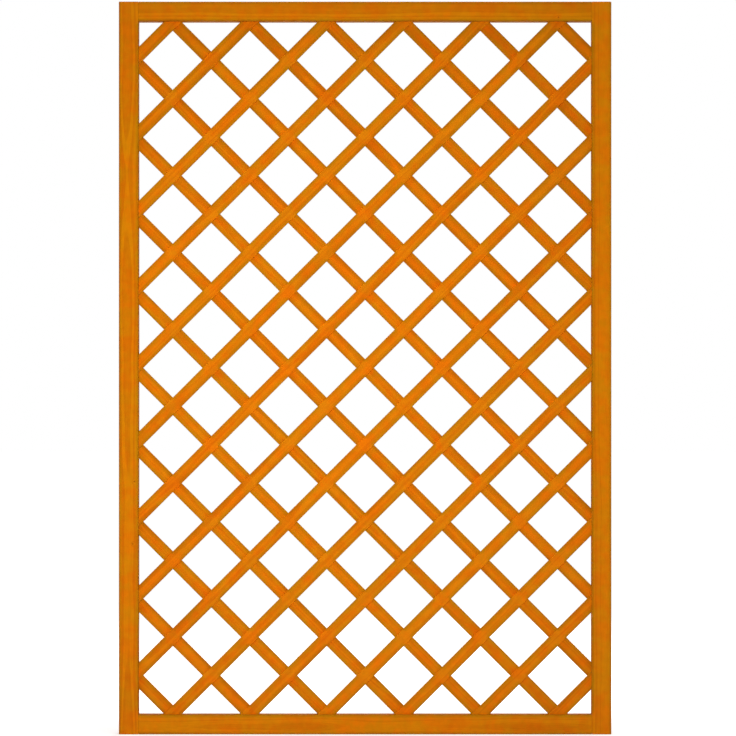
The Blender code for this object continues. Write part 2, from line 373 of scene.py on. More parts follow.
def square_rim(number, rows, columns):
    """Point numbers round a block of the grid, anticlockwise with length to the right and back upwards."""
    low, high = number[rows[:-1], columns[0]], number[rows[:0:-1], columns[-1]]
    return np.concatenate([low, number[rows[-1], columns[:-1]], high, number[rows[0], columns[:0:-1]]])


def hole_rings(rim, centre):
    """Rings of a countersunk hole as (rings, points, 3) spots, from inside the square rim to the cone's end.

    Each rim point keeps its angle about the centre. Its radius runs half way to the worn mouth, to the
    mouth, down the straight wall and in along the cone, and the last ring closes on the screw's shank.
    """
    out = rim - centre
    angle = np.arctan2(out[:, 2], out[:, 0])
    mouth = SCREW_HEAD + HOLE_PLAY
    half_way = (np.hypot(out[:, 0], out[:, 2]) + mouth + MOUTH_WEAR) / 2
    closed = SCREW_NECK * HOLE_CLOSES
    radii = [half_way, mouth + MOUTH_WEAR, mouth, mouth, SCREW_NECK + HOLE_PLAY, closed]
    depths = [0, 0, MOUTH_WEAR, SCREW_SINK + SCREW_RIM, CONE_DEPTH, CONE_DEPTH + HOLE_PLAY]
    rings = np.zeros((len(radii), len(angle), 3))
    for ring, radius, depth in zip(rings, radii, depths):
        ring[:] = np.stack([radius * np.cos(angle), 0 * angle + depth, radius * np.sin(angle)], axis=1)
    return centre + rings


def bore_holes(grid, number, heights, ring):
    """A stile's holes: which quads of its grid stay, the spots of all the holes, and their faces.

    The patch left out round each screw takes the grid's rows near its level, and the columns of the outer
    edge near its middle. ring is the section half way up, which shows where those columns are.
    """
    in_patch = np.isclose(ring[:, 0], 0) & (np.abs(ring[:, 1]) < PATCH_HALF + PATCH_STEP / 2)
    columns = np.flatnonzero(in_patch)
    columns = columns[np.argsort(ring[columns, 1])]
    keep = np.ones((len(heights) - 1, len(ring)), bool)
    holes = []
    faces = []
    for level in screw_levels:
        rows = np.flatnonzero(np.abs(heights - level) < PATCH_HALF + PATCH_STEP / 4)
        keep[rows[0]:rows[-1], columns.min():columns.max()] = False
        rim = square_rim(number, rows, columns)
        hole = hole_rings(grid[rim], np.array([level, 0, 0]))
        first = len(grid) + sum(rings[..., 0].size for rings in holes)
        inside = first + np.arange(hole[..., 0].size).reshape(hole.shape[:2])
        faces += listed(tube_faces(np.vstack([rim, inside])), inside[-1])
        holes.append(hole)
    return keep, np.vstack([hole.reshape(-1, 3) for hole in holes]), faces


print("screws stand at heights of", ", ".join(f"{level * 1000:.0f}" for level in screw_levels), "mm")


# %% [markdown]
# A stile is then the frame's section carried up its height. It could be a single long quad on each side. It
# has a ring every 8 mm, and closer ones across the holes, so that its arrises can wander and the stain can
# follow them. The darker line along its edges is partly gathered stain and partly painted shade. Where a
# rail covers its inner edge, that line is left off.

# %% Build the stiles
END_EASE = 0.001
STATION_STEP = 0.008
STOPPED_ARRIS = 0.0006
STOP_RUN = 0.014
SHELTERED = 0.015
SHELTER_FADE = 0.006
SIDE_MARK = 0.013
STILE_WAVES = (0.31, 0.17, 0.07)
STILE_EDGE_MARKS = np.concatenate([[-EDGE_HOLD, -SIDE_MARK], PATCH_MARKS, [SIDE_MARK, EDGE_HOLD]])


def stile_stations():
    """Heights of the rings: close steps across the holes, wider ones between, the same from both ends."""
    low_levels = screw_levels[screw_levels < HEIGHT / 2]
    near = np.concatenate([[0, END_EASE], *(level + PATCH_MARKS for level in low_levels)])
    near = np.unique(near.round(5))
    between = np.linspace(near[-1], HEIGHT - near[-1], round((HEIGHT - 2 * near[-1]) / STATION_STEP))
    return np.concatenate([near, between[1:-1], HEIGHT - near[::-1]])


def shelter(past):
    """1 well under a neighbouring timber and 0 clear of it, in a straight ramp across its edge at 0."""
    return np.clip(0.5 - past / (2 * SHELTER_FADE), 0, 1)


def build_stile(name):
    """A grooved bar with chamfered ends and four countersunk holes in its outer edge.

    The inner arrises stop short of the rails, as a joiner stops them, so that the faces meet flush.
    """
    timber = members[name]
    heights = stile_stations()
    at_end = np.isclose(heights, 0) | np.isclose(heights, HEIGHT)
    ease = ARRIS + ARRIS_PLAY * wander(heights, STILE_WAVES, draw)
    past_rail = np.minimum(heights, HEIGHT - heights) - FACE
    inner_ease = STOPPED_ARRIS + (ease - STOPPED_ARRIS) * np.clip(past_rail / STOP_RUN, 0, 1)
    inset = np.where(at_end, END_EASE, 0.0)
    section, corners = frame_section(ease, inner_ease, inset, STILE_EDGE_MARKS)
    grid, number = tube_grid(heights[:, None], section)
    keep, bored, bored_faces = bore_holes(grid, number, heights, section[len(section) // 2])
    faces = listed(tube_faces(number)[keep]) + bored_faces + listed(end_faces(number))
    # Under a rail the edge counts as far away, so no darker edge line, partly painted shade, is laid there.
    sheltered = shelter(past_rail)[:, None] * (section[..., 0] > FACE / 2)
    arris = edge_distance(section, corners) + SHELTERED * sheltered
    arris = np.concatenate([arris.ravel(), np.abs(bored[:, 1]) + THICKNESS / 2 - PATCH_HALF])
    spots = np.vstack([grid, bored])
    end = np.isclose(spots[:, 0], 0) | np.isclose(spots[:, 0], HEIGHT)
    return timber.piece(name, spots, faces, arris, end, "frame_wood")


stiles = [build_stile(name) for name in ("left_stile", "right_stile")]
print("faces on a stile:", len(stiles[0].data.polygons))


# %% [markdown]
# ## The rails and their tongues
#
# A rail ends in two square shoulders and a stub tongue that slides into the stile's groove. It could be sawn
# from a full bar with a Boolean, like the real one. The grid gives it for less: the tongue is the section's
# outer edge and groove floor carried further, two cheeks close its sides, and one flat face on each side is a
# shoulder.

# %% Build the rails
TONGUE_MARK = 0.004
RAIL_MARKS = np.array([TONGUE_MARK, TONGUE_HALF, SIDE_MARK, EDGE_HOLD])
RAIL_EDGE_MARKS = np.concatenate([-RAIL_MARKS[::-1], [0], RAIL_MARKS])
RAIL_WAVES = (0.29, 0.16, 0.06)
TONGUE_EASE = 0.0006
TOUCH = 1e-6


def tongue_rings(root, way):
    """The tongue's straight ring and its eased tip, as spots, from the ring where it leaves the shoulder.

    The tip is the same rectangle drawn in on all sides: its short sides move in and its corners are clipped.
    """
    straight = root + [way * (TONGUE_END - SHOULDER - TONGUE_EASE), 0, 0]
    tip = straight + [way * TONGUE_EASE, 0, 0]
    tip[:, 1] = np.clip(tip[:, 1], TONGUE_EASE, GROOVE_FLOOR - TONGUE_EASE)
    tip[:, 2] = np.clip(tip[:, 2], TONGUE_EASE - TONGUE_HALF, TONGUE_HALF - TONGUE_EASE)
    return np.vstack([straight, tip])


def build_rail(name):
    """A grooved bar between its shoulders, with a tongue past each of them."""
    timber = members[name]
    lengths = np.linspace(-SHOULDER, SHOULDER, round(2 * SHOULDER / STATION_STEP) + 1)
    ease = ARRIS + ARRIS_PLAY * wander(lengths, RAIL_WAVES, draw)
    section, corners = frame_section(ease, ease, np.zeros_like(ease), RAIL_EDGE_MARKS)
    grid, number = tube_grid(lengths[:, None], section)
    faces = listed(tube_faces(number))
    inward, back = section[0].T
    on_tongue = np.abs(back) < TONGUE_HALF + TOUCH
    edge = np.flatnonzero(on_tongue & (inward < TOUCH))
    floor = np.flatnonzero(on_tongue & (np.abs(inward - GROOVE_FLOOR) < TOUCH))
    loop = np.concatenate([edge, floor])
    front_shoulder = np.concatenate([np.arange(edge[-1], len(back)), np.arange(floor[0] + 1)])
    back_shoulder = np.arange(floor[-1], edge[0] + 1)
    spots = [grid]
    for station, way in ((number[0], -1), (number[-1], 1)):
        first = sum(len(block) for block in spots)
        rings = np.vstack([station[loop], first + np.arange(2 * len(loop)).reshape(2, -1)])
        spots.append(tongue_rings(grid[rings[0]], way))
        faces += listed(tube_faces(rings[::way])[::way])
        flat_faces = (station[front_shoulder], station[back_shoulder], rings[-1])
        faces += listed(*(face[::way] for face in flat_faces))
    spots = np.vstack(spots)
    arris = np.concatenate([edge_distance(section, corners).ravel(), np.full(len(spots) - len(grid), FACE)])
    end = np.abs(np.abs(spots[:, 0]) - TONGUE_END) < TOUCH
    return timber.piece(name, spots, faces, arris, end, "frame_wood")


rails = [build_rail(name) for name in ("bottom_rail", "top_rail")]
print("faces on a rail:", len(rails[0].data.polygons))


# %% [markdown]
# ## The lattice slats
#
# Thirty thin slats cross in two layers, and the groove's floor decides where each one stops. They could be
# long bars trimmed by a cutter. Here each outline point runs along the slat until it meets the first stop, so
# the ends come out sawn at the right slant, and even the shortest corner slat keeps its shape.

# %% Cut a slat to the frame
SLAT_ARRIS = 0.0015
SLAT_ARRIS_PLAY = 0.0003
SLAT_ARRIS_STEPS = 4
SLAT_HOLD = 0.0004
SLAT_FLAT = SLAT_WIDTH / 2 - SLAT_ARRIS - SLAT_ARRIS_PLAY - SLAT_HOLD
SLAT_FACE_MARKS = np.array([-1, -0.7, 0, 0.7, 1]) * SLAT_FLAT


def slat_section(arris):
    """A slat's section and its corners, in (distance across, distance towards the back) from its middle."""
    wide, deep = SLAT_WIDTH / 2, SLAT_THICKNESS / 2
    flat = np.array([[-wide, -deep], [wide, -deep], [wide, deep], [-wide, deep]])
    corners = np.broadcast_to(flat, (len(arris), 4, 2))
    radii = np.repeat(arris[:, None], 4, axis=1)
    return rounded_section(corners, radii, (SLAT_ARRIS_STEPS,) * 4, (SLAT_FACE_MARKS, (0,)) * 2), corners


def slat_reach(timber, section):
    """How far each outline point can run back and forth along the slat, as two (stations, points) lengths.

    A point at p that moves along d reaches the stop at s when t = (s - p) / d. It is inside the frame from
    the last near stop that it passes to the first far stop that it meets.
    """
    spots, number = tube_grid(0.0, section)
    start = (timber.in_panel(spots) - MIDDLE).reshape(*number.shape, 3)
    way = timber.axes[0, [0, 2]]
    meets = np.stack([(side * SLAT_STOPS - start[..., [0, 2]]) / way for side in (-1, 1)])
    return meets.min(axis=0).max(axis=-1), meets.max(axis=0).min(axis=-1)


print("points round a slat:", slat_section(np.array([SLAT_ARRIS]))[0].shape[1])


# %% [markdown]
# A slat's grain and easing vary along it. Along its arrises the colour darkens, partly gathered stain and
# partly painted shade, except where the other layer covers them. One long face could not show that, so rings
# follow each other every 14 mm, with closer ones where the shelter of a crossing begins and ends.

# %% Build the slats
SLAT_STEP = 0.014
SAW_EDGE = 0.0004
SLAT_PITH = (0.045, 0.120)
SLAT_WAVES = (0.23, 0.11, 0.05)


def from_crossing(length):
    """How far a point along a slat lies from the nearest crossing's middle. They come at every spacing."""
    return np.abs((length + SLAT_SPACING / 2) % SLAT_SPACING - SLAT_SPACING / 2)


def slat_stations(low, high):
    """Lengths of the rings between the sawn ends.

    Regular ones, and at each crossing two on either side, where the shelter of the other slat starts to
    fade and at that slat's edge, where it has gone.
    """
    first, last = low.max() + 3 * SAW_EDGE, high.min() - 3 * SAW_EDGE
    regular = np.linspace(first, last, max(2, round((last - first) / SLAT_STEP)))
    middles = np.arange(math.ceil(first / SLAT_SPACING), math.floor(last / SLAT_SPACING) + 1) * SLAT_SPACING
    edge = SLAT_WIDTH / 2 - SHELTER_FADE * np.array([2, 0])
    fades = (middles[:, None] + np.concatenate([-edge, edge])).ravel()
    fades = fades[(fades > first + SAW_EDGE) & (fades < last - SAW_EDGE)]
    return np.sort(np.concatenate([regular, fades]))


def build_slat(name):
    """A slat sawn at the groove's floor, riding where the packed one lies.

    Its first two rings and its last two lie along the saw cuts, and the others square across it. Where the
    other layer covers an edge, its arris counts as far away, so the darker edge line, partly gathered stain
    and partly painted shade, is left off there.
    """
    offset, _, depth, _ = slat_place(name)
    across = slat_across(name)
    timber = Timber(MIDDLE + across * offset + [0, depth, 0], across, (0, 1, 0), (0, 0), SLAT_PITH)
    low, high = slat_reach(timber, slat_section(np.array([SLAT_ARRIS]))[0])
    stations = np.concatenate([[low.mean()] * 2, slat_stations(low, high), [high.mean()] * 2])
    ease = SLAT_ARRIS + SLAT_ARRIS_PLAY * wander(stations, SLAT_WAVES, draw)
    section, corners = slat_section(ease)
    low, high = slat_reach(timber, section)
    length = np.broadcast_to(stations[:, None], low.shape).copy()
    length[:2] = low[:2] + [[0], [SAW_EDGE]]
    length[-2:] = high[-2:] - [[SAW_EDGE], [0]]
    spots, number = tube_grid(length, section)
    faces = listed(tube_faces(number), end_faces(number))
    end = np.zeros(length.shape)
    end[[0, -1]] = 1
    # Where the other layer covers an edge, the darker edge line, partly painted shade, is left off.
    within = from_crossing(length) + SHELTER_FADE - SLAT_WIDTH / 2
    arris = edge_distance(section, corners) + SHELTERED * shelter(within)
    return timber.piece(name, spots, faces, arris.ravel(), end.ravel(), "lattice_wood")


slats = [build_slat(name) for name in slat_points]
print("faces on the slats:", sum(len(slat.data.polygons) for slat in slats))


# %% [markdown]
# ## The corner screws
#
# Long countersunk screws pull the stiles onto the rails. Only their heads show, but a screw taken out of the
# wood should still be a screw. A Screw modifier could wind the thread. Here the whole screw is one surface:
# each ring has a depth and a radius, and a radius that also depends on the angle gives both the star recess
# and the thread, whose crest goes once round while the depth grows by one pitch.

# %% Shape a screw's rings
SCREW_LENGTH = 0.080
SCREW_SIDES = 36
THREAD_START = 0.030
THREAD_TIP = 0.006
THREAD_PITCH = 0.003
THREAD_CREST = 0.0025
THREAD_CORE = 0.0016
THREAD_WIDTH = 0.22
RINGS_A_TURN = 8
RECESS_RADIUS = 0.0019
RECESS_LOBES = 6
RECESS_WAVE = 0.16
RECESS_DEPTH = 0.0024
SCREW_CONE = SCREW_RIM + SCREW_HEAD - SCREW_NECK
HEAD_RINGS = np.array([
    [RECESS_DEPTH, RECESS_RADIUS * 0.92, 1],
    [0.0002, RECESS_RADIUS, 1],
    [0, RECESS_RADIUS * 1.08, 1],
    [0, SCREW_HEAD * 0.66, 0],
    [0, SCREW_HEAD - 0.0003, 0],
    [0.0001, SCREW_HEAD - 0.0001, 0],
    [0.0003, SCREW_HEAD, 0],
    [SCREW_RIM, SCREW_HEAD, 0],
    [(SCREW_RIM + SCREW_CONE) / 2, (SCREW_HEAD + SCREW_NECK) / 2, 0],
    [SCREW_CONE, SCREW_NECK, 0],
    [0.012, SCREW_NECK, 0],
    [0.022, SCREW_NECK, 0],
])


def screw_rings():
    """Depth and radius of every screw point, as (rings, sides) from the recess on, and the sides' angles.

    A row of HEAD_RINGS is a depth, a radius, and 1 where the ring is a star. Those rings use
    r * (1 + wave * cos(lobes * angle)). Thread rings use core + (crest - core) * tooth, where the tooth is a
    triangle over the phase depth / pitch - angle / turn, and dies out at both ends.
    """
    angle = np.linspace(0, 2 * math.pi, SCREW_SIDES, endpoint=False)
    star = 1 + RECESS_WAVE * np.cos(RECESS_LOBES * angle)
    head_depth = np.repeat(HEAD_RINGS[:, :1], SCREW_SIDES, axis=1)
    head_radius = HEAD_RINGS[:, 1:2] * np.where(HEAD_RINGS[:, 2:] > 0, star, 1)
    run = SCREW_LENGTH - THREAD_START
    depth = np.linspace(THREAD_START, SCREW_LENGTH, round(run / THREAD_PITCH * RINGS_A_TURN) + 1)[:, None]
    to_tip = np.clip((SCREW_LENGTH - depth) / THREAD_TIP, 0, 1)
    phase = (depth / THREAD_PITCH - angle / (2 * math.pi)) % 1
    tooth = np.clip(1 - np.abs(phase - 0.5) / THREAD_WIDTH, 0, 1)
    grown = np.clip((depth - THREAD_START) / THREAD_PITCH, 0, 1) * to_tip
    core = THREAD_CORE * np.sqrt(to_tip)
    radius = core + (THREAD_CREST - THREAD_CORE) * tooth * grown
    depth = np.broadcast_to(depth, radius.shape)
    return np.vstack([head_depth, depth[:-1]]), np.vstack([head_radius, radius[:-1]]), angle


print("rings on a screw:", len(screw_rings()[0]))


# %% [markdown]
# The rings only need a direction to go in. A screw could be made once and turned into place as an object, but
# an object stays unturned here, so the directions themselves are turned: each screw's depth runs into its own
# stile's edge.

# %% Drive the screws
def build_screw(name):
    """A screw along X, its head sunk in the stile's outer edge and its recess closed by a flat floor.

    A point is head + depth * inward + radius * (cos(angle) * up + sin(angle) * aside).
    """
    depth, radius, angle = screw_rings()
    side = np.sign(screw_points[name][:, 0].mean())
    level, _ = middle_and_span(screw_points[name][:, 2])
    head = np.array([side * (HALF_WIDTH - SCREW_SINK), 0, level])
    inward = np.array([-side, 0, 0])
    up = np.array([0, 0, 1.0])
    aside = np.cross(inward, up)
    rings = depth[..., None] * inward + (radius * np.cos(angle))[..., None] * up
    rings = rings + (radius * np.sin(angle))[..., None] * aside
    poles = np.array([inward * RECESS_DEPTH, inward * SCREW_LENGTH])
    spots = head + np.vstack([rings.reshape(-1, 3), poles])
    number = np.arange(depth.size).reshape(depth.shape)
    centre, tip = np.full((2, SCREW_SIDES), [[depth.size], [depth.size + 1]])
    round_centre = np.column_stack([centre, np.roll(number[0], -1), number[0]])
    round_tip = np.column_stack([number[-1], np.roll(number[-1], -1), tip])
    faces = listed(tube_faces(number), round_centre, round_tip)
    return new_piece(f"{name}_steel", spots, faces, {}, name)


screws = [build_screw(name) for name in screw_points]
print("faces on a screw:", len(screws[0].data.polygons))


# %% [markdown]
# ## The crossing staples
#
# Where two slats cross, a staple driven from the back holds them together. The front shows none, so they are
# seen from behind only. One staple could be copied as ninety-three objects. All of them together are one
# array instead: the points of one bent wire, turned and moved to every crossing, each a little off true as a
# hand leaves them.

# %% Find the crossings and bend one staple
STAPLE_CROWN = 0.0100
STAPLE_LEG = 0.0130
STAPLE_BEND = 0.0010
WIRE_WIDE = 0.0012
WIRE_DEEP = 0.0007
WIRE_CUT = 0.00022


def crossing_spots():
    """Every crossing in the frame as (x, z) from the middle: whole half pitches, both odd or both even."""
    half = CROSSING_PITCH / 2
    room = np.array([SHOULDER, HEIGHT / 2 - FACE])
    most = (room / half).astype(int)
    across, up = np.mgrid[-most[0]:most[0] + 1, -most[1]:most[1] + 1]
    spots = np.column_stack([across.ravel(), up.ravel()])
    spots = spots[spots.sum(axis=1) % 2 == 0] * half
    return spots[(np.abs(spots) < room - SLAT_WIDTH / 2).all(axis=1)]


def staple_rings():
    """One staple as (rings, 8, 3) spots in (along the crown, across it, out of the wood).

    The middle line runs up a leg, round a bend and along the crown, and its other half mirrors that. Each
    ring is the wire's eight-sided section, laid square to the middle line's direction.
    """
    half, bend = STAPLE_CROWN / 2, STAPLE_BEND
    corner = bend * (1 - math.sqrt(0.5))
    leg = [[-half, -STAPLE_LEG], [-half, -bend]]
    line = np.array([*leg, [corner - half, -corner], [bend - half, 0], [0, 0]])
    line = np.vstack([line, line[-2::-1] * (-1, 1)])
    way = np.gradient(line, axis=0)
    way[[0, -1]] = [[0, 1], [0, -1]]
    way = unit(way)
    wide, deep, cut = WIRE_WIDE / 2, WIRE_DEEP / 2, WIRE_CUT
    section = np.array([[-deep, cut - wide], [cut - deep, -wide], [deep - cut, -wide], [deep, cut - wide]])
    section = np.vstack([section, -section])
    inward = np.column_stack([way[:, 1], -way[:, 0]])
    along = line[:, :1] + inward[:, :1] * section[:, 0]
    out = line[:, 1:] + inward[:, 1:] * section[:, 0]
    across = np.broadcast_to(section[:, 1], along.shape)
    return np.stack([along, across, out], axis=-1)


print("crossings:", len(crossing_spots()))


# %% [markdown]
# Each staple turns by a few degrees and shifts by a millimetre or so. An array modifier would place them all
# alike, so their points are worked out together: one small table of turned axes for each staple, times the
# points of the bent wire.

# %% Drive the staples
STAPLE_PROUD = 0.0002
STAPLE_TURN = math.radians(7)
STAPLE_SHIFT = 0.0018


def build_staples():
    """All the staples as one mesh, in the back of the slats: crossing + shift + turned axes * wire point."""
    rings = staple_rings()
    spots = crossing_spots()
    turn = draw.uniform(-STAPLE_TURN, STAPLE_TURN, len(spots))
    spots = spots + draw.uniform(-STAPLE_SHIFT, STAPLE_SHIFT, spots.shape)
    level = np.zeros_like(turn)
    surface = level + LATTICE_BACK + STAPLE_PROUD - WIRE_DEEP / 2
    centre = MIDDLE + np.stack([spots[:, 0], surface, spots[:, 1]], axis=1)
    crown = np.stack([np.cos(turn), level, np.sin(turn)], axis=1)
    across = np.stack([np.sin(turn), level, -np.cos(turn)], axis=1)
    out = np.stack([level, level + 1, level], axis=1)
    points = centre[:, None] + rings.reshape(-1, 3) @ np.stack([crown, across, out], axis=1)
    number = np.arange(rings[..., 0].size).reshape(rings.shape[:2])
    shifts = np.arange(len(spots))[:, None, None] * number.size
    faces = listed(tube_faces(number).reshape(-1, 4) + shifts, end_faces(number) + shifts)
    return new_piece("crossing_staples", points.reshape(-1, 3), faces, {})


staples = build_staples()
print("faces on the staples:", len(staples.data.polygons))


# %% [markdown]
# ## Short words for long graphs
#
# A finish is a graph of shader nodes. It can be wired by hand in the Shader Editor, where a graph of fifty
# nodes takes an evening. Written out in full it takes pages. So each step that the finishes need gets one
# short method, which adds its nodes, fills or links their inputs and hands back the result.

# %% Name the nodes
NODES_A_ROW = 14
NODE_GAP = (190, -280)
FINE = (3.0, 0.6)
SOCKET_KINDS = {1: "NodeSocketFloat", 3: "NodeSocketVector", 4: "NodeSocketColor"}


class Graph:
    """A node tree that is written like a sum: a method adds the nodes of one step and returns the result."""

    def __init__(self, tree):
        self.tree = tree

    def feed(self, node, inputs):
        """Fill a node's inputs with numbers, or link them to what other nodes put out."""
        for socket, value in inputs.items():
            if isinstance(value, bpy.types.NodeSocket):
                self.tree.links.new(value, node.inputs[socket])
            else:
                node.inputs[socket].default_value = value

    def add(self, kind, output, inputs, **settings):
        """Add a node with its settings and inputs. An output of None returns all its outputs."""
        made = self.tree.nodes.new(kind)
        row, column = divmod(len(self.tree.nodes), NODES_A_ROW)
        made.location = (NODE_GAP[0] * column, NODE_GAP[1] * row)
        for setting, value in settings.items():
            setattr(made, setting, value)
        self.feed(made, inputs)
        return made.outputs if output is None else made.outputs[output]

    def maths(self, operation, *values):
        """One step of arithmetic on numbers."""
        return self.add("ShaderNodeMath", 0, dict(enumerate(values)), operation=operation)

    def times(self, first, second):
        """One number times another."""
        return self.maths("MULTIPLY", first, second)

    def vectors(self, operation, *values):
        """One step of arithmetic on vectors."""
        return self.add("ShaderNodeVectorMath", 0, dict(enumerate(values)), operation=operation)

    def split(self, vector):
        """The three numbers of a vector."""
        return tuple(self.add("ShaderNodeSeparateXYZ", None, {0: vector}))

    def step(self, value, low, high, start=0.0, stop=1.0):
        """A smooth step that is start up to low and stop from high on."""
        inputs = {0: value, 1: low, 2: high, 3: start, 4: stop}
        return self.add("ShaderNodeMapRange", 0, inputs, interpolation_type="SMOOTHSTEP")

    def span(self, first, second):
        """The length of a right triangle's long side: the root of first squared plus second squared."""
        squares = [self.times(side, side) for side in (first, second)]
        return self.maths("SQRT", self.maths("ADD", *squares))

    def noise(self, place, stretch, detail=2.0, roughness=0.5):
        """Cloudy noise from 0 to 1, with this many clouds a metre along each direction.

        Detail and roughness say how finely and how strongly the clouds break up, as FINE does.
        """
        place = self.vectors("MULTIPLY", place, stretch)
        inputs = {"Vector": place, "Scale": 1.0, "Detail": detail, "Roughness": roughness}
        return self.add("ShaderNodeTexNoise", 0, inputs)

    def blend(self, share, first, second, way="MIX"):
        """A share of the second colour laid on the first."""
        inputs = {0: share, 6: first, 7: second}
        return self.add("ShaderNodeMix", 2, inputs, data_type="RGBA", blend_type=way)

    def dress(self, shader, look, height, strength, depth):
        """Feed a shader with a look's colour and roughness, and with bumps of this depth over the height."""
        bump = self.add("ShaderNodeBump", 0, {"Strength": strength, "Distance": depth, "Height": height})
        self.feed(shader, {"Base Color": look["Colour"], "Roughness": look["Roughness"], "Normal": bump})


def new_group(name, inputs, outputs):
    """An empty node group with named sockets, whose kinds follow from one, three or four numbers."""
    tree = bpy.data.node_groups.new(name, "ShaderNodeTree")
    for label, value in inputs.items():
        kind = SOCKET_KINDS[np.size(value)]
        tree.interface.new_socket(label, in_out="INPUT", socket_type=kind).default_value = value
    for label, numbers in outputs.items():
        tree.interface.new_socket(label, in_out="OUTPUT", socket_type=SOCKET_KINDS[numbers])
    graph = Graph(tree)
    return graph, graph.add("NodeGroupInput", None, {})


def new_finish(name):
    """A material, its graph, and the shader that its finish goes into."""
    material = bpy.data.materials.new(name)
    material.use_nodes = True
    return material, Graph(material.node_tree), material.node_tree.nodes["Principled BSDF"]


print("words for nodes:", ", ".join(word for word in vars(Graph) if not word.startswith("_")))


# %% [markdown]
# ## How softwood looks inside
#
# A tree adds one ring a year: pale early wood that darkens slowly to a hard line of late wood, and stops at
# once. A sawn board shows those rings as stripes or arches. A picture of pine could be wrapped round each
# bar, but its stripes would not meet at the corners. Since every point knows where it lay in the tree, the
# rings here are its distance from the pith, so faces, edges and end grain always agree. Branches leave knots:
# cones from the pith, found as cells over length and angle, and the rings bow round them.

# %% Grow the rings, the fibres and the knots
KNOT_RUN = 0.15
KNOT_SPREAD = 0.65
KNOT_EDGE = (0.75, 1.2)
BOW = 1.1
BOW_REACH = 4.0
DRIFT = (1.6, 9.0, 9.0)
YEAR_CHANGE = 0.31
YEAR_PLAY = 1.5
LATE_CLIMB = (0.35, 0.9)
LATE_STOP = (0.93, 1.0)
FIBRES = (26.0, 900.0, 900.0)
FIBRE_EDGE = (0.3, 0.7)
LATE_RELIEF = 0.5
FIBRE_RELIEF = 0.5
KNOT_RELIEF = 0.4


def knots(graph, given, length, side, deep, radius):
    """Knots as a mask from 0 to 1, and how far they bow the rings outwards.

    Each cell over (length / run, angle * spread) may hold one knot. A point's distance from its centre is
    measured along the length and round the pith, in knot sizes.
    """
    angle = graph.maths("ARCTAN2", deep, side)
    spot = {0: graph.maths("DIVIDE", length, KNOT_RUN), 1: graph.times(angle, KNOT_SPREAD)}
    spot = graph.add("ShaderNodeCombineXYZ", 0, spot)
    cells = {"Vector": spot, "Scale": 1.0}
    cells = graph.add("ShaderNodeTexVoronoi", None, cells, voronoi_dimensions="2D")
    off_length, off_angle, _ = graph.split(graph.vectors("SUBTRACT", spot, cells["Position"]))
    off_length = graph.times(off_length, KNOT_RUN)
    off_round = graph.times(graph.maths("DIVIDE", off_angle, KNOT_SPREAD), radius)
    luck, growth, _ = graph.split(cells["Color"])
    chosen = graph.maths("LESS_THAN", luck, given["Knot chance"])
    size = graph.times(given["Knot size"], graph.maths("ADD", growth, 0.5))
    away = graph.maths("DIVIDE", graph.span(off_length, off_round), size)
    knot = graph.times(chosen, graph.step(away, *KNOT_EDGE, 1, 0))
    return knot, graph.times(graph.step(away, 0.0, BOW_REACH, BOW, 0), graph.times(chosen, size))


def timber_figure():
    """Late wood, fibre and knot as masks from 0 to 1, with the relief that they leave in a planed face.

    year = (radius + slow noise + bow round knots) / ring width, plus a noise over the years, so that no two
    are alike. Its fraction is the phase: late wood climbs over its middle and falls at once before it ends.
    """
    inputs = {"Place": (0, 0, 0), "Ring width": 0.004, "Wander": 0.004}
    inputs |= {"Knot chance": 0.2, "Knot size": 0.003}
    outputs = {"Late wood": 1, "Fibre": 1, "Knot": 1, "Relief": 1}
    graph, given = new_group("Timber figure", inputs, outputs)
    length, side, deep = graph.split(given["Place"])
    radius = graph.span(side, deep)
    knot, bow = knots(graph, given, length, side, deep, radius)

    slow = graph.maths("SUBTRACT", graph.noise(given["Place"], DRIFT), 0.5)
    bent = graph.maths("MULTIPLY_ADD", slow, given["Wander"], graph.maths("ADD", radius, bow))
    rings = graph.maths("DIVIDE", bent, given["Ring width"])
    years = {"W": graph.times(rings, YEAR_CHANGE)}
    years = graph.add("ShaderNodeTexNoise", 0, years, noise_dimensions="1D")
    phase = graph.maths("FRACT", graph.maths("MULTIPLY_ADD", years, YEAR_PLAY, rings))
    late = graph.times(graph.step(phase, *LATE_CLIMB), graph.step(phase, *LATE_STOP, 1, 0))
    fibre = graph.step(graph.noise(given["Place"], FIBRES, *FINE), *FIBRE_EDGE)

    relief = graph.maths("MULTIPLY_ADD", late, LATE_RELIEF, graph.times(fibre, FIBRE_RELIEF))
    relief = graph.maths("MULTIPLY_ADD", knot, KNOT_RELIEF, relief)
    figure = {"Late wood": late, "Fibre": fibre, "Knot": knot, "Relief": relief}
    graph.add("NodeGroupOutput", None, figure)
    return graph.tree


TIMBER_FIGURE = timber_figure()
print("nodes in", TIMBER_FIGURE.name + ":", len(TIMBER_FIGURE.nodes))


# %% [markdown]
# ## How the stain sits on it
#
# The photograph's colour is a strong transparent orange, redder in some places and more golden in others,
# with a darker line along every edge. That line is partly the thicker coat that a dipped board keeps there,
# and partly painted shade: the shading of the rounded edges, painted into the colour. One orange would look
# like plastic. The stain is built in the order in which it happens: the soaked colour, what the grain does
# to it, the coat that gathers at the arrises with the painted edge shade, the end grain that drinks the
# most, and the corners that hands have rubbed.

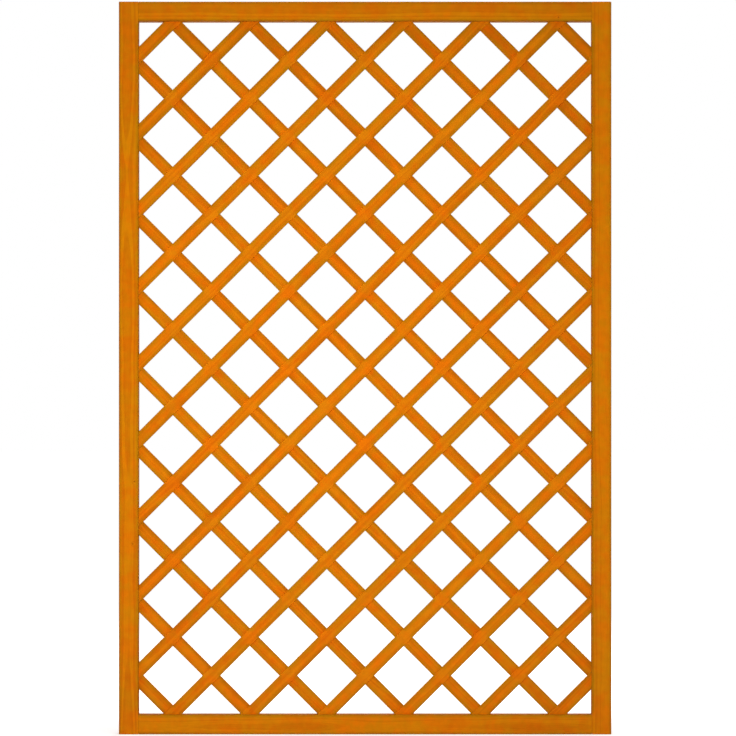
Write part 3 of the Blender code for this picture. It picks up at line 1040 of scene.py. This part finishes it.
# %% Soak the wood in stain
CLOUDS = 24.0
PATCHES = 46.0
BOARD_MOOD = 0.10
MOOD_EDGE = (0.32, 0.68)
PATCH_EDGE = (0.35, 0.65)
PATCH_SHADE = 0.07
LATE_TINT = (0.80, 0.66, 0.40, 1)
FIBRE_TINT = (0.86, 0.82, 0.70, 1)
KNOT_TINT = (0.42, 0.30, 0.25, 1)
KNOT_SHARE = 0.7
END_TINT = (0.52, 0.44, 0.50, 1)
END_SHARE = 0.9
UNEVEN_EDGE = 0.0016
BARE_WOOD = (0.66, 0.30, 0.075, 1)
RUBS = 70.0
RUB_EDGE = (0.56, 0.66)
RUB_REACH = (0.0004, 0.0013)
ROUGHNESS = 0.56
ROUGH_SHARES = (0.08, 0.2, -0.08, 0.15)
CLOUD_COAT = 0.5
EDGE_COAT = 0.3


def soaked_stain():
    """The stain's colour, roughness and the coat's thickness over a figured timber.

    Colour starts between the red and the golden stain by a cloud noise and darkens in patches. Then each
    effect is laid on by its mask: late wood, fibres, knots, the darker edges (gathered stain and painted
    shade), end grain and rubbed arrises. Roughness is one number plus shares of fibres, end grain, the darker
    edges and rubbed arrises.
    """
    inputs = {"Late wood": 0.0, "Fibre": 0.0, "Knot": 0.0, "Board": 0.5, "Arris": 1.0, "End": 0.0}
    inputs |= {"Red stain": (0.80, 0.15, 0.0, 1), "Golden stain": (0.66, 0.20, 0.0, 1), "Grain": 0.3}
    inputs |= {"Edge stain and shade": (0.70, 0.90, 1.0, 1), "Edge reach": 0.003, "Rub": 0.2}
    graph, given = new_group("Soaked stain", inputs, {"Colour": 4, "Roughness": 1, "Coat": 1})
    place = graph.add("ShaderNodeTexCoord", "Object", {})

    clouds = graph.noise(place, (CLOUDS,) * 3, *FINE)
    patches = graph.noise(place, (PATCHES,) * 3)
    board = graph.times(graph.maths("SUBTRACT", given["Board"], 0.5), BOARD_MOOD)
    mood = graph.step(graph.maths("ADD", clouds, board), *MOOD_EDGE)
    colour = graph.blend(mood, given["Red stain"], given["Golden stain"])
    colour = graph.blend(graph.step(patches, *PATCH_EDGE, 0.0, PATCH_SHADE), colour, (0, 0, 0, 1))

    uneven = graph.times(graph.maths("SUBTRACT", patches, 0.5), UNEVEN_EDGE)
    arris = graph.maths("ADD", given["Arris"], uneven)
    # The darker band along the edges is partly stain that gathers at the arris and partly painted shade,
    # standing in for the shading of the rounded edges.
    gathered_stain_and_shade = graph.step(arris, 0.0, given["Edge reach"], 1, 0)
    late, fibre = (graph.times(given[label], given["Grain"]) for label in ("Late wood", "Fibre"))
    knot, end = graph.times(given["Knot"], KNOT_SHARE), graph.times(given["End"], END_SHARE)
    tints = (LATE_TINT, FIBRE_TINT, KNOT_TINT, given["Edge stain and shade"], END_TINT)
    for mask, tint in zip((late, fibre, knot, gathered_stain_and_shade, end), tints):
        colour = graph.blend(mask, colour, tint, "MULTIPLY")

    worn = graph.noise(place, (RUBS,) * 3, *FINE)
    rubbed = graph.times(graph.step(worn, *RUB_EDGE), graph.step(given["Arris"], *RUB_REACH, 1, 0))
    rubbed = graph.times(rubbed, given["Rub"])
    colour = graph.blend(rubbed, colour, BARE_WOOD)

    rough = ROUGHNESS
    for mask, share in zip((given["Fibre"], given["End"], gathered_stain_and_shade, rubbed), ROUGH_SHARES):
        rough = graph.maths("MULTIPLY_ADD", mask, share, rough)
    coat = graph.maths("MULTIPLY_ADD", clouds, CLOUD_COAT, graph.times(gathered_stain_and_shade, EDGE_COAT))
    graph.add("NodeGroupOutput", None, {"Colour": colour, "Roughness": rough, "Coat": coat})
    return graph.tree


SOAKED_STAIN = soaked_stain()
print("nodes in", SOAKED_STAIN.name + ":", len(SOAKED_STAIN.nodes))


# %% [markdown]
# The frame and the lattice are the same wood in the same stain, but the photograph shows the thick frame
# darker than the thin slats. Two unrelated materials could be made. Placing the same two groups twice keeps
# them one family, and each only gets its own stain colours, ring width and edge.

# %% Stain the frame and the lattice
WOOD_GLOSS = 0.07
RELIEF_STRENGTH = 0.6
RELIEF_DEPTH = 0.00012


def paint(pieces, finish):
    """Give each of these pieces this finish."""
    for piece in pieces:
        piece.data.materials.append(finish)


def stained_timber(name, figure_values, stain_values):
    """A stained softwood: the two groups with this timber's own values, into one shader."""
    material, graph, shader = new_finish(name)
    wood, arris, end, board = (
        graph.add("ShaderNodeAttribute", None, {}, attribute_name=label)
        for label in ("wood", "arris", "end", "board")
    )
    figure = {"Place": wood["Vector"], **figure_values}
    figure = graph.add("ShaderNodeGroup", None, figure, node_tree=TIMBER_FIGURE)
    stain = {"Arris": arris["Fac"], "End": end["Fac"], "Board": board["Fac"], **stain_values}
    stain |= {label: figure[label] for label in ("Late wood", "Fibre", "Knot")}
    stain = graph.add("ShaderNodeGroup", None, stain, node_tree=SOAKED_STAIN)
    height = graph.maths("ADD", figure["Relief"], stain["Coat"])
    graph.dress(shader, stain, height, RELIEF_STRENGTH, RELIEF_DEPTH)
    shader.inputs["Specular IOR Level"].default_value = WOOD_GLOSS
    return material


# Each edge tint and reach darkens a band along the edges: partly gathered stain, partly painted shade.
frame_finish = stained_timber(
    "orange_stained_frame",
    {"Ring width": 0.0042, "Wander": 0.010, "Knot chance": 0.09, "Knot size": 0.0035},
    {
        "Red stain": (0.715, 0.178, 0.0003, 1),
        "Golden stain": (0.655, 0.217, 0.0008, 1),
        "Edge stain and shade": (0.68, 0.85, 1.0, 1),
        "Edge reach": 0.0100,
        "Grain": 0.55,
        "Rub": 0.15,
    },
)
lattice_finish = stained_timber(
    "orange_stained_lattice",
    {"Ring width": 0.0030, "Wander": 0.008, "Knot chance": 0.08, "Knot size": 0.0022},
    {
        "Red stain": (0.795, 0.172, 0.0006, 1),
        "Golden stain": (0.720, 0.213, 0.0016, 1),
        "Edge stain and shade": (0.69, 0.94, 1.0, 1),
        "Edge reach": 0.0135,
        "Grain": 0.48,
        "Rub": 0.15,
    },
)
paint(stiles + rails, frame_finish)
paint(slats, lattice_finish)
print("stained pieces:", len(stiles + rails + slats))


# %% [markdown]
# ## Plated steel
#
# Outdoor screws and staples are steel with a thin zinc coat that soon goes dull in patches. A plain grey
# metal would look new and empty. One group gives both fixings their patches, and each has its own tint and
# dullness.

# %% Plate the fixings
BLOOM_EDGE = (0.38, 0.66)
BLOOM_ROUGH = 0.25
PLATE_STRENGTH = 0.4
PLATE_DEPTH = 0.00005


def plated_steel():
    """Zinc's colour, roughness and relief: bright metal and dull bloom, parted by a patch noise."""
    inputs = {"Bright": (0.7, 0.7, 0.7, 1), "Dull": (0.4, 0.4, 0.4, 1), "Patches": 900.0, "Shine": 0.3}
    graph, given = new_group("Plated steel", inputs, {"Colour": 4, "Roughness": 1, "Relief": 1})
    place = graph.add("ShaderNodeTexCoord", "Object", {})
    patches = {"Vector": place, "Scale": given["Patches"], "Detail": FINE[0], "Roughness": FINE[1]}
    patches = graph.add("ShaderNodeTexNoise", 0, patches)
    bloom = graph.step(patches, *BLOOM_EDGE)
    colour = graph.blend(bloom, given["Bright"], given["Dull"])
    rough = graph.maths("MULTIPLY_ADD", bloom, BLOOM_ROUGH, given["Shine"])
    graph.add("NodeGroupOutput", None, {"Colour": colour, "Roughness": rough, "Relief": patches})
    return graph.tree


PLATED_STEEL = plated_steel()


def plated_finish(name, values):
    """A plated fixing: the group with its own values, on a fully metallic shader."""
    material, graph, shader = new_finish(name)
    plating = graph.add("ShaderNodeGroup", None, values, node_tree=PLATED_STEEL)
    graph.dress(shader, plating, plating["Relief"], PLATE_STRENGTH, PLATE_DEPTH)
    shader.inputs["Metallic"].default_value = 1.0
    return material


screw_finish = plated_finish(
    "zinc_plated_screw",
    {"Bright": (0.72, 0.66, 0.50, 1), "Dull": (0.42, 0.36, 0.25, 1), "Patches": 700.0, "Shine": 0.28},
)
staple_finish = plated_finish(
    "galvanised_wire",
    {"Bright": (0.66, 0.67, 0.68, 1), "Dull": (0.36, 0.37, 0.38, 1), "Patches": 500.0, "Shine": 0.36},
)
paint(screws, screw_finish)
paint([staples], staple_finish)
print("plated pieces:", len(screws) + 1)


# %% [markdown]
# ## The floor and the white surround
#
# The photograph is cut out on pure white. Flooding the room with light would do that and bleach the wood.
# Instead the floor and the sky look white to the camera and to reflections only, by their own glow, while the
# wood is lit by a plain soft light. The floor keeps its diffuse part and glows less close to the panel's
# foot. That dimmer glow is painted shade, a darker patch round the foot, and the panel's real shadow shows in
# it.

# %% Lay the floor and hang the sky
FLOOR_HALF = 30.0
FLOOR_COLOUR = (0.80, 0.80, 0.80, 1)
FLOOR_GLOW = 0.78
FOOT_SHADE_GLOW = 0.42
FOOT_NEAR = 0.20
FOOT_FAR = 0.50
SKY_LIGHT = 0.30
WHITE = (1, 1, 1, 1)


def seen_ray(graph):
    """1 for rays from the camera, from mirrors and through glass, and 0 for rays that carry light about."""
    rays = graph.add("ShaderNodeLightPath", None, {})
    seen = graph.maths("MAXIMUM", rays["Is Camera Ray"], rays["Is Glossy Ray"])
    return graph.maths("MAXIMUM", seen, rays["Is Transmission Ray"])


def bare_graph(block):
    """The emptied graph of a material or a world."""
    block.use_nodes = True
    block.node_tree.nodes.clear()
    return Graph(block.node_tree)


floor_mesh = bpy.data.meshes.new("floor")
floor_corners = FLOOR_HALF * np.array([(-1, -1, 0), (1, -1, 0), (1, 1, 0), (-1, 1, 0)])
floor_mesh.from_pydata(floor_corners.tolist(), [], [(0, 1, 2, 3)])
floor = show("floor", floor_mesh)

floor_paint = bpy.data.materials.new("pale_floor")
graph = bare_graph(floor_paint)
matt = graph.add("ShaderNodeBsdfDiffuse", 0, {"Color": FLOOR_COLOUR})
across, along, _ = graph.split(graph.add("ShaderNodeTexCoord", "Object", {}))
beside = graph.maths("MAXIMUM", graph.maths("SUBTRACT", graph.maths("ABSOLUTE", across), HALF_WIDTH), 0.0)
# Painted shade: the floor's glow drops near the panel's foot, which darkens a patch round it.
glow = graph.step(graph.span(beside, along), FOOT_NEAR, FOOT_FAR, FOOT_SHADE_GLOW, FLOOR_GLOW)
glow = graph.add("ShaderNodeEmission", 0, {"Color": WHITE, "Strength": graph.times(seen_ray(graph), glow)})
surface = graph.add("ShaderNodeAddShader", 0, {0: matt, 1: glow})
graph.add("ShaderNodeOutputMaterial", None, {"Surface": surface})
paint([floor], floor_paint)

sky = bpy.data.worlds.new("soft_sky")
bpy.context.scene.world = sky
graph = bare_graph(sky)
strength = graph.add("ShaderNodeMapRange", 0, {0: seen_ray(graph), 3: SKY_LIGHT, 4: 1.0})
surface = graph.add("ShaderNodeBackground", 0, {"Color": WHITE, "Strength": strength})
graph.add("ShaderNodeOutputWorld", None, {"Surface": surface})
print("floor and sky are in place")


# %% [markdown]
# ## The lamps
#
# In the photograph the middle of the lattice is brightest and the light falls off by a sixth towards the
# edges, most of all on the right. A sun would light every part alike. A softbox with a grid falls off by
# itself, so one stands in front, a little to the left. Four more light the back, the sides and the top,
# which the photograph doesn't show. The camera and the reflections don't see any of them, as if both wore a
# polarising filter.

# %% Set up the softboxes
def softbox(name, place, aim, size, spread, watts):
    """A square lamp at a place, turned towards its aim. Its grid narrows the beam to a spread in degrees."""
    lamp = bpy.data.lights.new(name, "AREA")
    lamp.size = size
    lamp.spread = math.radians(spread)
    lamp.energy = watts
    box = show(name, lamp)
    box.location = place
    box.rotation_euler = (Vector(aim) - Vector(place)).to_track_quat("-Z", "Y").to_euler()
    box.visible_camera = False
    box.visible_glossy = False
    return box


softboxes = [
    softbox("key_softbox", (-0.28, -6.0, 1.00), (-0.22, 0, 0.98), 1.3, 40, 14.0),
    softbox("rear_softbox", (0.9, 4.5, 2.4), (0, 0, 0.9), 1.8, 120, 42),
    softbox("left_softbox", (-4.0, 1.2, 1.2), (0, 0, 0.9), 1.2, 90, 12),
    softbox("right_softbox", (4.0, 1.2, 1.2), (0, 0, 0.9), 1.2, 90, 12),
    softbox("overhead_softbox", (0.3, -0.6, 5.0), (0, 0, 0.9), 1.8, 90, 20),
]
print("lamps:", ", ".join(box.name for box in softboxes))


# %% [markdown]
# ## The camera
#
# The panel is photographed square on, with no lean in its sides, so the camera looks straight along Y. It
# could be an orthographic camera, but a real lens stood somewhere. A long lens far away keeps the sides as
# straight and still shows a sliver of each slat's thickness.

# %% Place the camera
IMAGE_PIXELS = 736
MM_PER_PIXEL = 2.456
CAMERA_AWAY = 9.0
CAMERA_RIGHT = 0.0071
CAMERA_HIGH = 0.900
SENSOR_WIDE = 36.0
FAR_CLIP = 200

lens = bpy.data.cameras.new("camera")
lens.sensor_width = SENSOR_WIDE
view_width = IMAGE_PIXELS * MM_PER_PIXEL / 1000
lens.lens = SENSOR_WIDE * (CAMERA_AWAY - THICKNESS / 2) / view_width
lens.clip_end = FAR_CLIP
camera = show("camera", lens)
camera.location = (CAMERA_RIGHT, -CAMERA_AWAY, CAMERA_HIGH)
camera.rotation_euler = (math.radians(90), 0, 0)
bpy.context.scene.camera = camera
bpy.context.scene.view_settings.view_transform = "Standard"
print(f"lens {lens.lens:.1f} mm, frame {view_width:.3f} m wide")


# %% [markdown]
# ## The size
#
# The dressed panel has to stay as large as the packed one.
